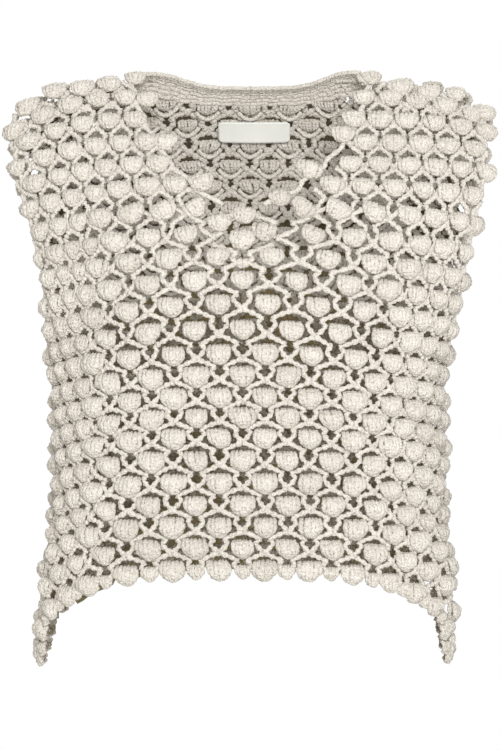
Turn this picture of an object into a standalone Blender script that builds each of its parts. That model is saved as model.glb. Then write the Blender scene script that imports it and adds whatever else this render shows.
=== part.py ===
"""A sleeveless V-neck blouse in bobble crochet, hollow and filled out as it is when worn.

Two straight panels hang from the shoulder seams and are sewn together from the underarms down.
A point on a panel is named by its column, 0 at the centre and 6 at a side, and by its row of
bobbles, 0 at the shoulder and 22 at the hem. The front faces -Y, and the origin lies level with
the top of the shoulders, midway between them.
"""

import math
from collections import namedtuple
from functools import cache

import bmesh
import bpy
import numpy as np

# The stitch lattice
LAST_ROW = 22
SIDE_COLUMN = 6
TOP_LINE = -0.5
HEM_LINE = 22.5
HEM_POINT = 22.75
UNDERARM_ROW = 11.25
V_TIP_ROW = 6

# Heights, in metres
SHOULDER_ROW_PITCH = 0.0229
BODY_ROW_PITCH = 0.0203
ROUND_ROW = 0.45
SHOULDER_SAG = 0.006
SHOULDER_SAG_ROWS = 6
SHOULDER_ROWS = 7
FALL_POWER = 3.3

# Widths and depths, in metres
NECK_HALF_WIDTH = 0.112
NECK_POWER = 2.0
NECK_ROUNDING = 0.75
FRONT_DEPTH = 0.100
FRONT_FULL_ROW = 11
BACK_DEPTH = 0.090
BACK_FULL_ROW = 8.5
HEM_TUCK = 0.012
ARMHOLE_HALF_GAP = 0.048
NAPE_DEPTH = 0.028
NAPE_ROWS = 7.5
NAPE_HALF_WIDTH = 0.088
SQUARENESS = 2.3
CENTRE_SHIFT = -0.007
CENTRE_SHIFT_ROWS = (3, 6)
CENTRE_EASE = 0.08

# The cloth
WALL = 0.003
SEAM_GAP = 0.0004
BOBBLE_HALF_WIDTH = 0.0112
BOBBLE_HALF_HEIGHT = 0.0095
BOBBLE_SHARE = 0.42
BOBBLE_SHOULDER = 0.0065
BOBBLE_TOP = 0.0105
NECK_EDGE_COLUMN = 2.5
NECK_EDGE_ROWS = (-0.64, -1.0)
LABEL_SIZE = (0.070, 0.024)
LABEL_PLACE = (0.09, 2.05)
LABEL_WALL = 0.001
LABEL_OFFSET = 0.0045

ARC_STEPS = 160
NUDGE = 0.02

COTTON = (0.74, 0.68, 0.60)
SATIN = (0.80, 0.79, 0.74)

# What changes from row to row: the width of the wall from the middle to each side, how far each
# side hangs below the middle, and how far the nape hangs below the shoulder seams
Section = namedtuple("Section", "row left_width right_width left_fall right_fall nape_drop")
SECTIONS = [
    Section(-1.0, 0.221, 0.215, 0.034, 0.026, 0.008),
    Section(-0.5, 0.222, 0.216, 0.035, 0.026, 0.012),
    Section(0.0, 0.222, 0.217, 0.036, 0.026, 0.012),
    Section(2.0, 0.217, 0.219, 0.042, 0.028, 0.000),
    Section(4.0, 0.204, 0.212, 0.048, 0.030, -0.005),
    Section(6.0, 0.191, 0.201, 0.054, 0.032, -0.006),
    Section(8.5, 0.187, 0.191, 0.062, 0.036, -0.006),
    Section(11.25, 0.182, 0.180, 0.069, 0.041, -0.003),
    Section(14.0, 0.181, 0.181, 0.072, 0.051, 0.0),
    Section(17.5, 0.184, 0.181, 0.076, 0.064, 0.0),
    Section(20.0, 0.194, 0.190, 0.080, 0.074, 0.0),
    Section(21.5, 0.196, 0.187, 0.083, 0.078, 0.0),
    Section(23.0, 0.194, 0.184, 0.086, 0.082, 0.0),
]


def clear_scene():
    for obj in list(bpy.data.objects):
        bpy.data.objects.remove(obj)


@cache
def along(column, row):
    """The value of one column of SECTIONS at a row, on a smooth curve through the table."""
    rows = np.array([section.row for section in SECTIONS])
    values = np.array([getattr(section, column) for section in SECTIONS])
    slopes = np.gradient(values, rows)
    i = int(np.clip(np.searchsorted(rows, row) - 1, 0, len(rows) - 2))
    span = rows[i + 1] - rows[i]
    s = float(np.clip((row - rows[i]) / span, 0, 1))
    rise = s * s * (3 - 2 * s)
    leaving = s * (1 - s) ** 2 * span
    arriving = -s * s * (1 - s) * span
    return values[i] + (values[i + 1] - values[i]) * rise + slopes[i] * leaving + slopes[i + 1] * arriving


def middle_height(row):
    """The height of a row where it doesn't hang. The cloth turns over the shoulder in a round."""
    rounded = min(row, ROUND_ROW) - TOP_LINE
    fallen = SHOULDER_ROW_PITCH * rounded * rounded / (2 * (ROUND_ROW - TOP_LINE))
    upper = min(max(row - ROUND_ROW, 0), SHOULDER_ROWS - ROUND_ROW)
    lower = max(row - SHOULDER_ROWS, 0)
    sag = SHOULDER_SAG * max(1 - (row - TOP_LINE) / SHOULDER_SAG_ROWS, 0)
    return -fallen - sag - SHOULDER_ROW_PITCH * upper - BODY_ROW_PITCH * lower


def panel_depth(panel, row):
    """How far the middle of a panel stands off the plane of the side seams."""
    full_row = FRONT_FULL_ROW if panel == "front" else BACK_FULL_ROW
    depth = FRONT_DEPTH if panel == "front" else BACK_DEPTH
    turn = min((row - TOP_LINE) / (full_row - TOP_LINE), 1)
    tucked = max(row - full_row, 0) / (HEM_LINE - full_row)
    return depth * math.sin(turn * math.pi / 2) - HEM_TUCK * tucked * tucked


def armhole_gap(row):
    """How far a panel's side edge stands off the plane of the side seams."""
    if row >= UNDERARM_ROW:
        return 0.0
    return ARMHOLE_HALF_GAP * math.sin(math.pi * (row - TOP_LINE) / (UNDERARM_ROW - TOP_LINE))


def neck_half_width(row):
    """Half the width of the V neck at a row, 0 from its tip down."""
    share = np.clip((row - TOP_LINE) / (V_TIP_ROW - TOP_LINE), 0, 1)
    return NECK_HALF_WIDTH * (1 - share**NECK_POWER) ** NECK_ROUNDING


def nape_shape(x):
    """1 at the nape, falling to 0 at the shoulder seams."""
    return np.exp(-((x / NAPE_HALF_WIDTH) ** 4))


@cache
def row_plan(panel, side, row):
    """Half of a row seen from above, from the middle to a side: x, y and length so far."""
    turn = np.linspace(0, math.pi / 2, ARC_STEPS + 1)
    x = along("left_width" if side < 0 else "right_width", row) * np.sin(turn) ** (2 / SQUARENESS)
    gap = armhole_gap(row)
    y = gap + (panel_depth(panel, row) - gap) * np.cos(turn).clip(0) ** (2 / SQUARENESS)
    if panel == "back":
        nape = NAPE_DEPTH * max(1 - (row - TOP_LINE) / NAPE_ROWS, 0)
        y = y + nape * nape_shape(x)
    length = np.concatenate([[0], np.cumsum(np.hypot(np.diff(x), np.diff(y)))])
    return x, y, length


def side_of(column, side=1):
    """-1 left of the middle and 1 right of it; on the middle, the side that is asked for."""
    return side if column == 0 else int(math.copysign(1, column))


def panel_point(panel, column, row, side=1):
    """A point in the middle of a panel's wall. side says which lip of the neck column 0 is on."""
    side = side_of(column, side)
    x, y, length = row_plan(panel, side, row)
    neck = np.interp(neck_half_width(row), x, length)
    share = min(abs(column) / SIDE_COLUMN, 1)
    eased = share * (1 + CENTRE_EASE * (1 - share))
    start = neck if panel == "front" else 0.0
    at = start + (length[-1] - start) * eased
    hang = max((at - neck) / (length[-1] - neck), 0) ** FALL_POWER
    fall = along("left_fall" if side < 0 else "right_fall", row) * hang
    across = np.interp(at, length, x)
    deep = np.interp(at, length, y) + SEAM_GAP / 2
    shift = CENTRE_SHIFT * np.interp(row, CENTRE_SHIFT_ROWS, (0, 1)) * (1 - share * share)
    height = middle_height(row) - fall
    if panel == "back":
        height -= along("nape_drop", row) * nape_shape(across)
        shift = 0.0
    facing = -1 if panel == "front" else 1
    return np.array([side * across + shift, facing * deep, height])


def panel_frame(panel, column, row, side=1):
    """The point, the steps to the next column and row, and the way out of the cloth, there.

    On a seam the way out is turned into the seam's plane, so that two walls meet there in a mitre.
    """
    split = panel == "front" and row < V_TIP_ROW
    side = side_of(column, side)
    low = 0 if split and side > 0 else -SIDE_COLUMN
    high = 0 if split and side < 0 else SIDE_COLUMN
    left, right = max(column - NUDGE, low), min(column + NUDGE, high)
    across = panel_point(panel, right, row, side) - panel_point(panel, left, row, side)
    down = panel_point(panel, column, row + NUDGE, side) - panel_point(panel, column, row - NUDGE, side)
    across /= right - left
    down /= 2 * NUDGE
    out = np.cross(down, across)
    out /= np.linalg.norm(out)
    if panel == "back":
        out = -out
    if abs(column) >= SIDE_COLUMN or row <= TOP_LINE:
        flat = np.array([out[0], 0.0, out[2]])
        out = flat / flat.dot(flat)
    return panel_point(panel, column, row, side), across, down, out


class PanelMesh:
    """The wall of one panel: a bobble in each diamond of the outer face over a plain inner face."""

    # A diamond's corners and the middles of its sides, from the right corner round, in columns and rows
    RIM = [(0.5, 0), (0.25, 0.5), (0, 1), (-0.25, 0.5), (-0.5, 0), (-0.25, -0.5), (0, -1), (0.25, -0.5)]
    SLOPES = [(0, 1, 9, 8), (1, 2, 9), (2, 10, 9), (2, 3, 10), (3, 4, 11, 10)]
    SLOPES += [(4, 5, 12, 11), (5, 6, 12), (6, 13, 12), (6, 7, 13), (7, 0, 8, 13)]
    RING = 6

    def __init__(self, panel):
        self.panel = panel
        self.bm = bmesh.new()
        self.outer = {}
        self.inner = {}

    def key(self, column, row, side):
        on_lip = self.panel == "front" and column == 0 and row < V_TIP_ROW
        return column, row, side if on_lip else 0

    def wall_vertex(self, face, column, row, side):
        found = self.outer if face > 0 else self.inner
        key = self.key(column, row, side)
        if key not in found:
            point, _, _, out = panel_frame(self.panel, column, row, side)
            found[key] = self.bm.verts.new(point + face * WALL / 2 * out)
        return found[key]

    def raised_vertex(self, column, row, side, height):
        point, _, _, out = panel_frame(self.panel, column, row, side)
        return self.bm.verts.new(point + (WALL / 2 + height) * out)

    def rim_places(self, column, row, low, high):
        """A diamond's rim, held inside the panel."""
        for step, drop in self.RIM:
            yield (
                min(max(column + step, low), high),
                min(max(row + drop, TOP_LINE), HEM_POINT),
            )

    def add_face(self, vertices):
        kept = [v for i, v in enumerate(vertices) if v is not vertices[i - 1]]
        if len(set(kept)) > 2:
            self.bm.faces.new(kept)

    def add_bobble(self, column, row, side, low, high):
        _, across, down, _ = panel_frame(self.panel, column, row, side)
        pitch = np.linalg.norm(across)
        half_width = min(BOBBLE_HALF_WIDTH, BOBBLE_SHARE * pitch) / pitch
        half_height = BOBBLE_HALF_HEIGHT / np.linalg.norm(down)
        points = [self.wall_vertex(1, c, r, side) for c, r in self.rim_places(column, row, low, high)]
        for i in range(self.RING):
            turn = 2 * math.pi * i / self.RING
            c = min(max(column + half_width * math.cos(turn), low), high)
            r = row + half_height * math.sin(turn)
            points.append(self.raised_vertex(c, r, side, BOBBLE_SHOULDER))
        top = self.raised_vertex(column, row, side, BOBBLE_TOP)
        for slope in self.SLOPES:
            self.add_face([points[i] for i in slope])
        first = len(self.RIM)
        for i in range(self.RING):
            self.add_face([points[first + i], points[first + (i + 1) % self.RING], top])

    def add_inside(self, column, row, side, low, high):
        """The plain inner face of a diamond: its corners, and whatever lies on the panel's edge."""
        kept = []
        for i, (c, r) in enumerate(self.rim_places(column, row, low, high)):
            on_edge = abs(c) == SIDE_COLUMN or r in (TOP_LINE, HEM_LINE, HEM_POINT)
            on_lip = bool(self.key(c, r, side)[2])
            if i % 2 == 0 or on_edge or on_lip:
                kept.append(self.wall_vertex(-1, c, r, side))
        self.add_face(kept[::-1])

    def add_filler(self, column, line, tip, side, low, high):
        """The small triangle between two diamonds at the top line or the hem line."""
        places = [(max(column - 0.25, low), line), (min(column + 0.25, high), line), (column, tip)]
        for face in (1, -1):
            self.add_face([self.wall_vertex(face, c, r, side) for c, r in places])

    def halves(self, column, row):
        """The stretches of columns that a diamond or filler may fill, with the lip each is on."""
        if column == 0 and self.panel == "front" and row < V_TIP_ROW:
            return [(-1, -SIDE_COLUMN, 0), (1, 0, SIDE_COLUMN)]
        return [(side_of(column), -SIDE_COLUMN, SIDE_COLUMN)]

    def close_edges(self):
        """Joins the outer face to the inner one along the panel's edges."""
        keys = {vertex: key for key, vertex in self.outer.items()}
        open_edges = [edge for edge in self.bm.edges if len(edge.link_faces) == 1]
        for edge in open_edges:
            if all(vertex in keys for vertex in edge.verts):
                a, b = edge.verts
                self.bm.faces.new([a, b, self.inner[keys[b]], self.inner[keys[a]]])

    def build(self):
        for row in range(LAST_ROW + 1):
            first = -SIDE_COLUMN if row % 2 else -SIDE_COLUMN + 0.5
            for i in range(int(SIDE_COLUMN - first) + int(SIDE_COLUMN) + 1):
                column = first + i
                if column > SIDE_COLUMN:
                    break
                for side, low, high in self.halves(column, row):
                    self.add_bobble(column, row, side, low, high)
                    self.add_inside(column, row, side, low, high)
        for column in range(-SIDE_COLUMN, SIDE_COLUMN + 1):
            for side, low, high in self.halves(column, TOP_LINE):
                self.add_filler(column, TOP_LINE, 0, side, low, high)
            self.add_filler(column, HEM_LINE, LAST_ROW, side_of(column), -SIDE_COLUMN, SIDE_COLUMN)
        self.close_edges()
        bmesh.ops.recalc_face_normals(self.bm, faces=self.bm.faces)
        return self.bm


def material(name, colour, roughness, sheen):
    made = bpy.data.materials.new(name)
    made.use_nodes = True
    shader = made.node_tree.nodes["Principled BSDF"]
    shader.inputs["Base Color"].default_value = (*colour, 1.0)
    shader.inputs["Roughness"].default_value = roughness
    shader.inputs["Metallic"].default_value = 0.0
    shader.inputs["Sheen Weight"].default_value = sheen
    return made


def add_object(name, bm, finish, collection):
    mesh = bpy.data.meshes.new(name)
    bm.to_mesh(mesh)
    bm.free()
    mesh.shade_smooth()
    mesh.set_sharp_from_angle(angle=math.radians(50))
    mesh.materials.append(finish)
    obj = bpy.data.objects.new(name, mesh)
    collection.objects.link(obj)
    return obj


def sheet(points):
    """An open surface through a grid of points."""
    bm = bmesh.new()
    grid = [[bm.verts.new(point) for point in line] for line in points]
    for upper, lower in zip(grid, grid[1:]):
        for i in range(len(upper) - 1):
            bm.faces.new([upper[i], lower[i], lower[i + 1], upper[i + 1]])
    return bm


def thicken(obj, thickness):
    solid = obj.modifiers.new("Thickness", "SOLIDIFY")
    solid.thickness = thickness
    solid.offset = 0.0
    solid.use_even_offset = True


def neck_edge_sheet():
    """The plain rows worked along the back neck, above the top line of the back panel."""
    columns = np.linspace(-NECK_EDGE_COLUMN, NECK_EDGE_COLUMN, 25)
    return sheet([[panel_point("back", c, r) for c in columns] for r in NECK_EDGE_ROWS])


def label_sheet():
    """The label, laid against the inside of the back."""
    _, across, down, _ = panel_frame("back", *LABEL_PLACE)
    columns = LABEL_PLACE[0] + np.linspace(-0.5, 0.5, 9) * LABEL_SIZE[0] / np.linalg.norm(across)
    rows = LABEL_PLACE[1] + np.linspace(-0.5, 0.5, 3) * LABEL_SIZE[1] / np.linalg.norm(down)
    lines = []
    for r in rows:
        frames = [panel_frame("back", c, r) for c in columns]
        lines.append([point - LABEL_OFFSET * out for point, _, _, out in frames])
    return sheet(lines)


def main():
    clear_scene()
    collection = bpy.data.collections.new("bobble_crochet_blouse")
    bpy.context.scene.collection.children.link(collection)
    cotton = material("cotton_yarn", COTTON, 0.9, 0.3)
    satin = material("label_satin", SATIN, 0.45, 0.1)
    for panel in ("front", "back"):
        add_object(f"{panel}_panel", PanelMesh(panel).build(), cotton, collection)
    thicken(add_object("back_neck_edge", neck_edge_sheet(), cotton, collection), WALL)
    thicken(add_object("label", label_sheet(), satin, collection), LABEL_WALL)


main()
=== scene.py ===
"""The looks of a sleeveless V-neck blouse in openwork bobble crochet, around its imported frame.

A point of the cloth is named by its column, 0 at the centre and 7 at a side, and by its row of
bobbles, 0 at the shoulder and 22 at the hem. The bobbles of even rows lie on half columns, those
of odd rows on whole ones. Sizes are in metres.
"""

import math

import bpy
import numpy as np
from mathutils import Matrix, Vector


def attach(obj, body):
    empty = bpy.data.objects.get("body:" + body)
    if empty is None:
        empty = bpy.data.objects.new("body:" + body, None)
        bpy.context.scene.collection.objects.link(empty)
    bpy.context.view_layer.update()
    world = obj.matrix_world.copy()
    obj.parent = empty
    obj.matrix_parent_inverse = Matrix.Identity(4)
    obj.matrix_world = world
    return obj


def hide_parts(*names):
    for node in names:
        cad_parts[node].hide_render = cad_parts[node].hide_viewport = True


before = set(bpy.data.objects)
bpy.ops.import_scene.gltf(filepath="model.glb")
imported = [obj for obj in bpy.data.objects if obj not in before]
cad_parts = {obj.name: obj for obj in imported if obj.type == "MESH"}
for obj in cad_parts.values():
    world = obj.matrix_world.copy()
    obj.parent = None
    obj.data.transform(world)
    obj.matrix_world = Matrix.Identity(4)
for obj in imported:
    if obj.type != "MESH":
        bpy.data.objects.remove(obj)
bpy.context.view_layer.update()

# The stitch lattice
LAST_ROW = 22
SIDE_COLUMN = 7
# The front's outermost column at some rows of its left and right side
EDGE_ROWS = (0, 8, 12)
EDGE_COLUMNS = {-1: (7, 7, 7), 1: (6.4, 6.4, 7)}
HEM_ROW = 22.5
UNDERARM_ROW = 13
NECK_TOP_COLUMN = 2.6
NECK_STEP = {-1: 0.56, 1: 0.42}
NECK_TIP_ROW = 5.8
# How far the stitches open beside the tip of the neck, and over what share of the way
TIP_ROWS = (3, 5, 6, 7, 8, 9, 10, 12, 14)
TIP_OPENING = {
    -1: (0.0, 0.004, 0.019, 0.020, 0.014, 0.009, 0.006, 0.0, 0.0),
    1: (0.0, 0.018, 0.029, 0.031, 0.026, 0.019, 0.013, 0.005, 0.003),
}
TIP_REACH = (0.05, 0.05, 0.05, 0.2, 0.35, 0.35, 0.4, 0.4, 0.4)
# Where the columns begin to crowd towards the sides of the body, and by how much
CROWDED_COLUMNS = (2.8, 3.9)
CROWDED_ROWS = (2, 8)
CROWDING = {-1: 0.5, 1: 0.38}
LAST_COLUMN_EASE = 0.55

# The cloth's surface, the same as in the CAD model: its own rows, heights, widths and depths
TOP_LINE = -0.5
HEM_LINE = 22.5
SEAM_TOP_ROW = 11.25
V_TIP_ROW = 6
SHOULDER_ROW_PITCH = 0.0229
BODY_ROW_PITCH = 0.0203
ROUND_ROW = 0.45
SHOULDER_SAG = 0.006
SHOULDER_SAG_ROWS = 6
SHOULDER_ROWS = 7
FALL_POWER = 3.3
NECK_HALF_WIDTH = 0.112
NECK_POWER = 2.0
NECK_ROUNDING = 0.75
FRONT_DEPTH = 0.100
FRONT_FULL_ROW = 11
BACK_DEPTH = 0.090
BACK_FULL_ROW = 8.5
HEM_TUCK = 0.012
ARMHOLE_HALF_GAP = 0.048
NAPE_DEPTH = 0.028
NAPE_ROWS = 7.5
NAPE_HALF_WIDTH = 0.088
SQUARENESS = 2.3
CENTRE_SHIFT = -0.007
CENTRE_SHIFT_ROWS = (3, 6)
CENTRE_EASE = 0.08
ARC_STEPS = 160

# Row, width to the left and right side, how far the left and right side hang, and the nape's drop
SECTIONS = np.array(
    [
        (-1.0, 0.221, 0.215, 0.034, 0.026, 0.008),
        (-0.5, 0.222, 0.216, 0.035, 0.026, 0.012),
        (0.0, 0.222, 0.217, 0.036, 0.026, 0.012),
        (2.0, 0.217, 0.219, 0.042, 0.028, 0.000),
        (4.0, 0.204, 0.212, 0.048, 0.030, -0.005),
        (6.0, 0.191, 0.201, 0.054, 0.032, -0.006),
        (8.5, 0.187, 0.191, 0.062, 0.036, -0.006),
        (11.25, 0.182, 0.180, 0.069, 0.041, -0.003),
        (14.0, 0.181, 0.181, 0.072, 0.051, 0.0),
        (17.5, 0.184, 0.181, 0.076, 0.064, 0.0),
        (20.0, 0.194, 0.190, 0.080, 0.074, 0.0),
        (21.5, 0.196, 0.187, 0.083, 0.078, 0.0),
        (23.0, 0.194, 0.184, 0.086, 0.082, 0.0),
    ]
)
WIDTH = {-1: 1, 1: 2}
FALL = {-1: 3, 1: 4}
NAPE_DROP = 5

# How the rows of stitches hang: row, fall of the left and right side, power of the curve, and drop
STITCH_FALLS = np.array(
    [
        (-1.0, 0.034, 0.030, 3.3, 0.0),
        (0.0, 0.040, 0.036, 2.35, 0.003),
        (1.0, 0.031, 0.020, 2.4, 0.0),
        (3.0, 0.022, 0.006, 2.4, 0.0),
        (6.0, 0.022, 0.013, 2.0, -0.004),
        (8.0, 0.021, 0.020, 1.9, -0.002),
        (10.0, 0.027, 0.023, 1.9, 0.001),
        (12.0, 0.022, 0.022, 1.9, 0.006),
        (14.0, 0.027, 0.027, 2.2, 0.005),
        (16.0, 0.034, 0.034, 2.8, 0.002),
        (18.0, 0.044, 0.042, 3.2, 0.003),
        (20.0, 0.060, 0.056, 3.8, 0.003),
        (21.5, 0.075, 0.070, 3.6, 0.002),
        (22.5, 0.085, 0.081, 3.3, 0.002),
        (23.5, 0.087, 0.083, 3.3, 0.002),
    ]
)
STITCH_FALL = {-1: 1, 1: 2}
STITCH_POWER = 3
STITCH_DROP = 4

# The grids that the surface and the stitches are looked up in
STEP = 0.1
GRID_ROWS = np.arange(-1.3, 23.51, STEP)
GRID_COLUMNS = np.arange(-1.5, 8.01, STEP)
SHARES = np.arange(-0.4, 1.401, 0.01)

# Strands of the net round a bobble: columns and rows from the bobble's middle, and the height
ARM = [(-0.5, 0.2, 0.0028), (-0.3, 0.38, 0.0024), (-0.08, 0.58, 0.0016)]
HOLE_SIDE = [(-0.09, 0.56, 0.0016), (-0.18, 0.75, 0.0018), (-0.11, 0.98, 0.0022), (0.0, 1.2, 0.0028)]
STRAND_RADIUS = 0.0024
STRAND_THIN_RADIUS = 0.0019
STRAND_LUMP = 0.30
STRAND_LUMP_RINGS = 3.4
STRAND_UNEVENNESS = 0.08
STRAND_SWAY = 0.02
# The strands are painted a little darker than the bobbles' tops: painted shade
STRAND_PAINTED_SHADE = 0.95
STRAND_RINGS = 11
STRAND_SIDES = 6
NET_THICKNESS = {"front": 1.0, "back": 1.3}
# How the strands swell along their length towards the knots where four of them meet
SWELL_PLACES = (0, 0.2, 0.8, 1)
ARM_SWELL = (1.3, 1.05, 0.95, 1.1)
HOLE_SIDE_SWELL = (1.05, 0.95, 1.05, 1.3)
# How far strands may reach past the side, the lip of the neck and the hem
SIDE_MARGIN = 0.25
LIP_MARGIN = 0.08
HEM_MARGIN = 0.15

# The strands along the lips of the neck and along the armholes
EDGE_HEIGHT = 0.0022
EDGE_LUMP = 0.22
EDGE_LUMP_RINGS = 3.3
EDGE_SIDES = 8
# The edge strands are painted a little darker: painted shade
EDGE_PAINTED_SHADE = 0.97
EDGE_SWAY = 0.05
LIP_ROWS = (-0.2, 5.9)
LIP_RINGS = 72
LIP_INSET = 0.04
LIP_WAVES = 6.3
ARMHOLE_EDGE_ROWS = (-0.2, 12.5)
ARMHOLE_EDGE_RINGS = 130

# Bobbles: each of six loops, from v = -1 at the top to v = 1 where they are gathered
BOBBLE_HALF_WIDTH = 0.0108
BOBBLE_HALF_HEIGHT = 0.0079
BOBBLE_HEIGHT = 0.0082
BOBBLE_SHIFT = 0.0006
BOBBLE_SHARE = 0.42
NARROWEST_BOBBLE = 0.6
BOBBLE_UNEVENNESS = 0.05
BOBBLE_LEAN = 0.08
BOBBLE_TONE_SPREAD = 0.03
LOOPS = 6
LOOP_RINGS = 11
LOOP_SIDES = 5
LOOP_OVERLAP = 1.65
LOOP_SPREAD = ((-1, -0.45, 0.2, 0.7, 1), (0.88, 1.0, 0.94, 0.72, 0.5))
LOOP_DOME = ((-1, -0.8, -0.45, 0.0, 0.5, 0.8, 1), (0.15, 0.6, 0.92, 1.0, 0.88, 0.66, 0.36))
LOOP_SWELL = ((-1, 0, 1), (0.85, 1, 0.75))
TOP_ROUNDING = 0.04
BOTTOM_ROUNDING = 0.34
SIDE_ROUNDING = 0.72
LEAST_ROUNDING = 0.05
LOOP_INSET = 0.45
LOOP_THICKNESS = 1.05
# How light the loops are painted at their ends and at the bobble's sides: painted shade where they meet
# the cloth
CREASE_PAINTED_SHADE = 0.72
# How uneven the loops are: sideways, outwards and in thickness
LOOP_KNOBS = (0.03, 0.05, 0.10)
LOOP_SHIFT = 0.03
# How strongly the bobbles turn towards the plumb line
PLUMB_PULL = 0.8
# The stitch that gathers the loops: where it lies in its middle, its slope and its curve
GATHER_ACROSS = (0.06, 0.55, 0.0)
GATHER_DOWN = (0.98, 0.05, -0.28)
GATHER_OUT = (0.0050, 0.0, -0.002)
GATHER_RINGS = 7
GATHER_RADIUS = 0.0019
GATHER_TAPER = 0.7
# How light the gathering stitch is painted: painted shade under the bobble
GATHER_PAINTED_SHADE = 0.85

# Bobbles along the lips of the neck and at its tip: side, column, row and size
LIP_BOBBLES = [
    (-1, -2.2, 1.1, 0.95),
    (-1, -1.25, 3.0, 1.0),
    (-1, -0.15, 4.9, 1.0),
    (1, 1.15, 2.65, 1.0),
    (1, 0.42, 4.3, 1.0),
    (1, 0.12, 5.6, 1.0),
    (-1, -0.36, 6.6, 1.0),
    (1, 0.02, 6.3, 0.9),
    (1, 0.30, 6.95, 1.0),
]
LOW_TIP_ROW = 7.3
# Small bobbles between the last ones of the hem
HEM_KNOT_ROW = 22.05
HEM_KNOT_SIZE = 0.66
# Bobbles at the hem's corners: column, row and size
CORNER_BOBBLES = [
    (6.85, 22.3, 0.95),
    (6.3, 22.3, 0.85),
    (6.8, 22.6, 0.8),
    (6.5, 22.65, 0.7),
    (7.1, 22.0, 0.9),
    (7.0, 20.05, 0.75),
    (7.0, 18.05, 0.7),
]
# The row at which the shoulder's first bobbles lie between these columns
SHOULDER_BOBBLE_COLUMNS = (3.2, 5.1)
SHOULDER_BOBBLE_ROW = {-1: 0.25, 1: 0.38}
# The column of the outermost bobbles between these rows of the armholes
ARMHOLE_COLUMN = 6.86
ARMHOLE_ROWS = (4, 10)
LAST_UPPER_ROW = 10

# The pleats on the inside, behind the bobbles of the back that the neck shows
PLEAT_LAST_ROW = 9
PLEAT_LAST_COLUMN = 4.6
PLEATS = 6
PLEAT_RINGS = 7
PLEAT_RADIUS = 0.0017
PLEAT_WIDTH = 1.1
PLEAT_SPREAD = ((-1, 0, 1), (1.0, 0.95, 0.6))
PLEAT_SHIFT = 0.04
PLEAT_LEAN = 0.10
PLEAT_UNEVENNESS = 0.10
PLEAT_REACH = 0.95
PLEAT_LOW_END = (0.55, 0.0, -0.45)
PLEAT_OUT = (0.0002, 0.00126, 0.00168)
# How light the pleats are painted, and how much darker their low ends: painted shade
PLEAT_PAINTED_SHADE = 0.9
PLEAT_END_SHADE = 0.25
PLEAT_END = 0.6
# The rim of each pocket below its pleats
RIM_ACROSS = (0.0, 1.05, 0.0)
RIM_DOWN = (0.95, 0.0, -1.0)
RIM_OUT = (-0.0008, 0.0, 0.0012)
RIM_RADIUS = 0.0021
RIM_LUMP = 0.15
RIM_LUMPS = 14
RIM_SIDES = 6
# How light the rim is painted: painted shade
RIM_PAINTED_SHADE = 0.95

# The plain rows along the back neck, and the short posts between them
EDGING_COLUMN = 2.9
EDGING_ROWS = (-0.74, -0.55, -0.36, -0.17, 0.02, 0.21, 0.4)
EDGING_RADIUS = 0.0021
EDGING_THICKNESS = 1.15
EDGING_RINGS = 60
EDGING_HEIGHT = 0.0012
EDGING_WAVE = 0.03
EDGING_LUMP = 0.12
# How light the plain rows are painted: a little painted shade
EDGING_PAINTED_SHADE = 0.9
EDGING_LIFT = 0.0025
EDGING_CORNER_LIFT = 0.006
EDGING_CORNER = {-1: 1.95, 1: 2.4}
EDGING_CORNER_WIDTH = 0.75
POST_STEP = 0.24
POST_RINGS = 5
POST_SIDES = 6
POST_SWAY = 0.03
POST_HEIGHT = 0.0010
POST_WIDTH = 0.9
POST_THICKNESS = 1.2
# How light the posts are painted: painted shade between the rows
POST_PAINTED_SHADE = 0.75
# The back has no bobbles nearer to the middle of its first row than this
PLAIN_BACK_COLUMN = 2.3

# The label
LABEL_SIZE = (0.070, 0.0235)
LABEL_PLACE = (0.105, 2.05)
LABEL_INSET = 0.0048
LABEL_THICKNESS = 0.0006
LABEL_CORNER = 0.0035
LABEL_SAG = 0.0010
LABEL_SAG_WAVE = 5.2
LABEL_GRID = (37, 13)

# The thin web of painted shade that closes the gaps of the back with dark yarn, in columns and rows
# round each bobble
WEB_INNER = (0.21, 0.25)
WEB_OUTER_HALF_WIDTH = 0.5
WEB_COLUMN = 6.6
WEB_HEM_COLUMN = 5.2
WEB_HEM_ROWS = 0.5
WEB_SHOULDER_ROW = 0.95
WEB_NECK_ROW = 0.35
WEB_HEIGHT = 0.0024
WEB_THICKNESS = 0.0006
WEB_SEGMENTS = 12
# The rows over which the web's painted shade goes from its darkest, above, to its lighter colour below
WEB_PAINTED_SHADE_ROWS = (6, 9)

# The rows over which the inside of the back is painted in shade, and how light it is painted there
INNER_SHADE_ROWS = (8, 11)
INNER_SHADE = (0.88, 0.30)

# The yarn's texture: how fine each pattern is, and its strength and shift in the yarn's tone
MOTTLE_SCALE = 210.0
MOTTLE_TONE = (0.4, -0.2)
PATCH_SCALE = 16.0
PATCH_TONE = (0.2, -0.1)
BEAD_SCALE = 520.0
# The beads' painted shade: the yarn is painted darker towards each bead's border, in the grooves of the
# relief
BEAD_GROOVE_PAINTED_SHADE = (-0.6, 0.2)
BEAD_SMOOTHNESS = 0.35
FIBRE_SCALE = 1500.0
PLIES = 300
# The share of beads and fibres in the relief, and the relief's strength and depth
BEAD_RELIEF = -1.3
FIBRE_RELIEF = 0.7
YARN_RELIEF = (0.9, 0.0011)
# The satin's texture
WEAVE_SCALE = 380.0
WEAVE_TONE = 0.35
CLOUD_SCALE = 60.0
SATIN_SHADE = 0.9
SATIN_RELIEF = (0.3, 0.0002)

# Colours and light
COTTON = (0.88, 0.84, 0.785)
# The yarn's painted shade colour, for its creases and its shaded inside
COTTON_SHADE = (0.20, 0.155, 0.08)
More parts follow.
